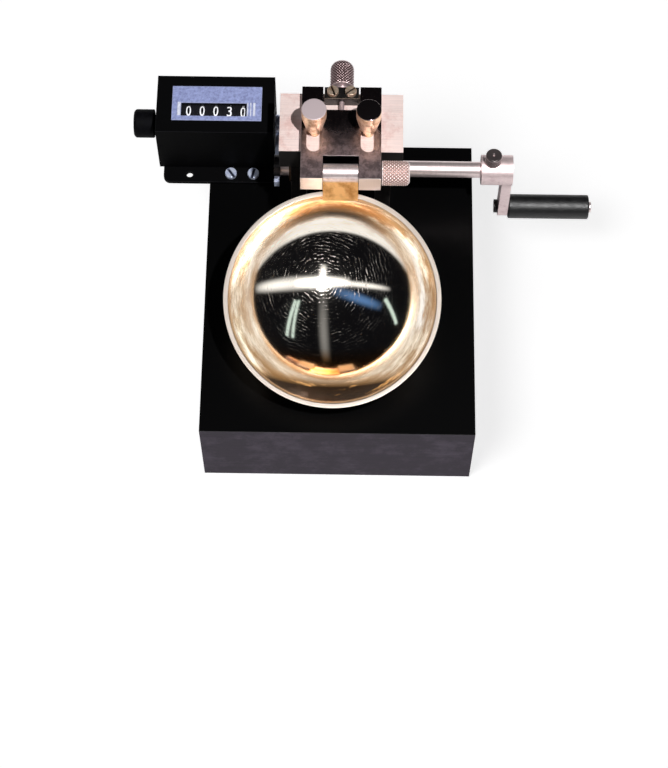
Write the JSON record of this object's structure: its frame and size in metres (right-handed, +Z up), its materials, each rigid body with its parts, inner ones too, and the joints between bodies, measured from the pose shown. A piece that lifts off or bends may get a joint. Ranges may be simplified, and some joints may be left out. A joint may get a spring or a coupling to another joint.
{
  "type": "liquid limit device",
  "caption": "Soil test device: a crank and cam lift a brass cup and drop it on a hard rubber block, beside a stroke counter with a reset knob.",
  "frame": {"origin": "middle of the rubber block's underside, on the bench", "axes": "+X towards the crank handle, +Y from the cup to the adjusting knob at the back, +Z up"},
  "size_m": [0.2173, 0.1668, 0.1265],
  "materials": {
    "hard_rubber": "hard black rubber, glossy top and dull sides",
    "milled_steel": "fine milled and brushed, pale",
    "polished_steel": "polished plate with faint wear",
    "cup_brass": "polished spun brass",
    "hanger_brass": "brushed brass, solder stained",
    "screw_steel": "turned and knurled, bright",
    "dark_steel": "hardened, dark",
    "bush_bronze": "turned bronze",
    "black_plastic": "black, soft gloss",
    "black_case": "black stove enamel",
    "zinc": "bluish zinc plate",
    "label_blue": "lavender blue label plate",
    "wheel_black": "black digit wheels with white figures",
    "window_glass": "clear window"
  },
  "bodies": {
    "frame": {"base_block": "hard_rubber", "frame_cheek_left": "milled_steel", "frame_cheek_right": "milled_steel", "frame_block": "milled_steel", "frame_bolts": "dark_steel", "camshaft_bush_left": "bush_bronze", "camshaft_bush_right": "bush_bronze", "adjuster_bracket": "dark_steel", "bracket_screws": "screw_steel", "counter_case": "black_case", "counter_base_plate": "black_case", "counter_label": "label_blue", "counter_window": "window_glass", "counter_screws": "zinc", "lever_pin": "zinc"},
    "crankshaft": {"camshaft": "milled_steel", "cam": "dark_steel", "cam_grub_screw": "dark_steel", "shaft_collars": "milled_steel", "collar_grub_screws": "dark_steel", "counter_eccentric": "milled_steel", "crank_arm": "milled_steel", "handle_spindle": "screw_steel", "spindle_nut": "dark_steel"},
    "handle": {"crank_handle": "black_plastic"},
    "crank_thumb_screw": {"crank_thumb_screw": "screw_steel"},
    "plate": {"adjusting_plate": "polished_steel"},
    "adjuster": {"adjusting_screw": "screw_steel"},
    "clamp_left": {"clamp_screw_left": "screw_steel"},
    "clamp_right": {"clamp_screw_right": "screw_steel"},
    "cup": {"cup": "cup_brass", "cup_hanger": "hanger_brass", "cam_follower": "dark_steel", "follower_rivets": "screw_steel"},
    "pivot_pin": {"pivot_pin": "screw_steel"},
    "reset": {"reset_knob": "black_plastic", "wheel_axle": "dark_steel"},
    "carry": {"pinion_shaft": "dark_steel", "carry_pinions": "wheel_black"},
    "counter_lever": {"counter_lever": "zinc"},
    "wheel_1": {"digit_wheel_1": "wheel_black"},
    "wheel_2": {"digit_wheel_2": "wheel_black"},
    "wheel_3": {"digit_wheel_3": "wheel_black"},
    "wheel_4": {"digit_wheel_4": "wheel_black"},
    "wheel_5": {"digit_wheel_5": "wheel_black"}
  },
  "joints": [
    {"name": "crank_spin", "type": "hinge", "parent": "frame", "child": "crankshaft", "pos_m": [0, 0.0472, 0.077], "axis": [1, 0, 0], "range_deg": [0, 310]},
    {"name": "handle_spin", "type": "hinge", "parent": "crankshaft", "child": "handle", "pos_m": [0.099, 0.0472, 0.0433], "axis": [1, 0, 0], "continuous": true},
    {"name": "crank_thumb_turn", "type": "hinge", "parent": "crankshaft", "child": "crank_thumb_screw", "pos_m": [0.0701, 0.0472, 0.086], "axis": [0, 0, 1], "range_deg": [0, 360]},
    {"name": "plate_slide", "type": "slide", "parent": "frame", "child": "plate", "axis": [0, 1, 0], "range_m": [-0.005, 0]},
    {"name": "adjuster_turn", "type": "hinge", "parent": "frame", "child": "adjuster", "pos_m": [0, 0.075, 0.1093], "axis": [0, 1, 0], "range_deg": [-1800, 0]},
    {"name": "clamp_left_turn", "type": "hinge", "parent": "frame", "child": "clamp_left", "pos_m": [-0.0122, 0.048, 0.115], "axis": [0, 0, 1], "range_deg": [0, 360]},
    {"name": "clamp_right_turn", "type": "hinge", "parent": "frame", "child": "clamp_right", "pos_m": [0.0122, 0.048, 0.115], "axis": [0, 0, 1], "range_deg": [0, 360]},
    {"name": "cup_lift", "type": "hinge", "parent": "plate", "child": "cup", "pos_m": [0, 0.0276, 0.1063], "axis": [-1, 0, 0], "range_deg": [0, 9.59]},
    {"name": "pivot_pin_turn", "type": "hinge", "parent": "plate", "child": "pivot_pin", "pos_m": [0, 0.0276, 0.1063], "axis": [1, 0, 0], "continuous": true},
    {"name": "reset_turn", "type": "hinge", "parent": "frame", "child": "reset", "pos_m": [-0.0588, 0.0735, 0.071], "axis": [1, 0, 0], "continuous": true},
    {"name": "carry_turn", "type": "hinge", "parent": "frame", "child": "carry", "pos_m": [-0.0588, 0.08604, 0.065], "axis": [1, 0, 0], "continuous": true},
    {"name": "counter_lever_swing", "type": "hinge", "parent": "frame", "child": "counter_lever", "pos_m": [-0.03, 0.0735, 0.071], "axis": [1, 0, 0], "range_deg": [0, 15], "stiffness_Nm_per_rad": 0.005},
    {"name": "wheel_1_turn", "type": "hinge", "parent": "frame", "child": "wheel_1", "pos_m": [-0.0717, 0.0735, 0.071], "axis": [1, 0, 0], "continuous": true},
    {"name": "wheel_2_turn", "type": "hinge", "parent": "frame", "child": "wheel_2", "pos_m": [-0.06533, 0.0735, 0.071], "axis": [1, 0, 0], "continuous": true},
    {"name": "wheel_3_turn", "type": "hinge", "parent": "frame", "child": "wheel_3", "pos_m": [-0.05896, 0.0735, 0.071], "axis": [1, 0, 0], "continuous": true},
    {"name": "wheel_4_turn", "type": "hinge", "parent": "frame", "child": "wheel_4", "pos_m": [-0.05259, 0.0735, 0.071], "axis": [1, 0, 0], "continuous": true},
    {"name": "wheel_5_turn", "type": "hinge", "parent": "frame", "child": "wheel_5", "pos_m": [-0.04622, 0.0735, 0.071], "axis": [1, 0, 0], "range_deg": [0, 31]}
  ],
  "couplings": [
    {"joint": "cup_lift", "follows": "crank_spin", "ratio": 0.030949},
    {"joint": "wheel_5_turn", "follows": "crank_spin", "ratio": 0.1},
    {"joint": "adjuster_turn", "follows": "plate_slide", "rad_per_m": 6283.2}
  ]
}
